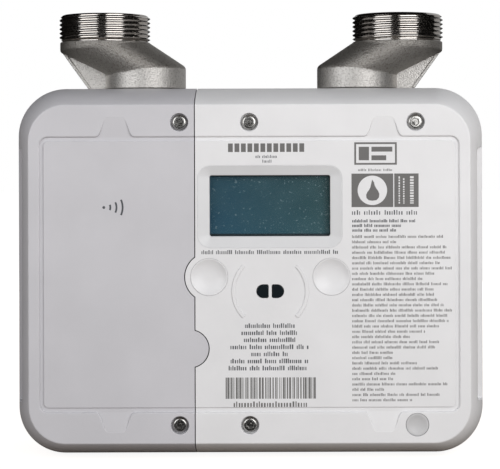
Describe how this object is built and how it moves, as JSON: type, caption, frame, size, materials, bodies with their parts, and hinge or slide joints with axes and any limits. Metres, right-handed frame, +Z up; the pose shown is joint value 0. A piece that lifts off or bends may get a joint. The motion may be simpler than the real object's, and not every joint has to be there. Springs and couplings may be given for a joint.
{
  "type": "gas meter",
  "caption": "Electronic residential gas meter: flat rounded case, offset threaded pipe connectors on top, display window, optical port, dished push buttons and battery cover.",
  "frame": {"origin": "middle of the footprint, at the height of the two feet under the housing", "axes": "+X to the right seen from the front, +Y from the front cover to the back, +Z up along the threaded connectors"},
  "size_m": [0.234, 0.092, 0.2225],
  "materials": {
    "white_cover": "satin",
    "grey_cover": "satin",
    "painted_casting": "matte",
    "connector_casting": "satin",
    "steel": "satin",
    "brass": "satin",
    "rubber": "matte",
    "black_plastic": "matte",
    "duct_plastic": "matte",
    "clear_lens": "gloss",
    "lcd_glass": "gloss",
    "infrared_filter": "gloss",
    "circuit_board": "satin",
    "cell_wrap": "gloss"
  },
  "bodies": {
    "meter_case": {"front_cover": "white_cover", "battery_cover": "grey_cover", "seal_plug": "grey_cover", "rear_housing": "painted_casting", "chamber_plate": "painted_casting", "inlet_connector": "connector_casting", "outlet_connector": "connector_casting", "valve_motor": "steel", "upstream_transducer": "steel", "downstream_transducer": "steel", "feedthrough": "steel", "magnet_ring": "steel", "radio_shield": "steel", "cover_screw_1": "steel", "cover_screw_2": "steel", "cover_screw_3": "steel", "cover_screw_4": "steel", "cover_screw_5": "steel", "cover_screw_6": "steel", "plate_screw_1": "steel", "plate_screw_2": "steel", "plate_screw_3": "steel", "plate_screw_4": "steel", "plate_screw_5": "steel", "plate_screw_6": "steel", "board_screw_1": "steel", "board_screw_2": "steel", "inlet_ring_nut": "brass", "outlet_ring_nut": "brass", "antenna": "brass", "chamber_gasket": "rubber", "inlet_o_ring": "rubber", "outlet_o_ring": "rubber", "display_gasket": "rubber", "valve_body": "black_plastic", "flow_straightener": "black_plastic", "sensor_lead": "black_plastic", "electronics_tray": "black_plastic", "ir_receiver": "black_plastic", "battery_strap": "black_plastic", "battery_lead": "black_plastic", "button_switch_left": "black_plastic", "button_switch_right": "black_plastic", "flow_duct": "duct_plastic", "outlet_pipe": "duct_plastic", "display_window": "clear_lens", "ir_emitter": "clear_lens", "lcd_module": "lcd_glass", "ir_window_left": "infrared_filter", "ir_window_right": "infrared_filter", "main_board": "circuit_board", "radio_board": "circuit_board", "battery_cell_1": "cell_wrap", "battery_cell_2": "cell_wrap", "battery_cell_3": "cell_wrap"},
    "left_button": {"button_left": "white_cover"},
    "right_button": {"button_right": "white_cover"},
    "valve_plunger": {"valve_disc": "duct_plastic", "valve_seal": "rubber"},
    "valve_screw": {"valve_lead_screw": "steel"}
  },
  "joints": [
    {"name": "left_button_press", "type": "slide", "parent": "meter_case", "child": "left_button", "axis": [0, 1, 0], "range_m": [0, 0.001], "stiffness_N_per_m": 400, "springref_m": -0.0005},
    {"name": "right_button_press", "type": "slide", "parent": "meter_case", "child": "right_button", "axis": [0, 1, 0], "range_m": [0, 0.001], "stiffness_N_per_m": 400, "springref_m": -0.0005},
    {"name": "valve_screw_turn", "type": "hinge", "parent": "meter_case", "child": "valve_screw", "pos_m": [-0.055, 0.009, 0.12], "axis": [0, 0, 1], "range_deg": [0, 1104.1]},
    {"name": "valve_plunger_slide", "type": "slide", "parent": "meter_case", "child": "valve_plunger", "axis": [0, 0, 1], "range_m": [0, 0.0092]}
  ],
  "couplings": [
    {"joint": "valve_screw_turn", "follows": "valve_plunger_slide", "rad_per_m": 2094.4}
  ]
}
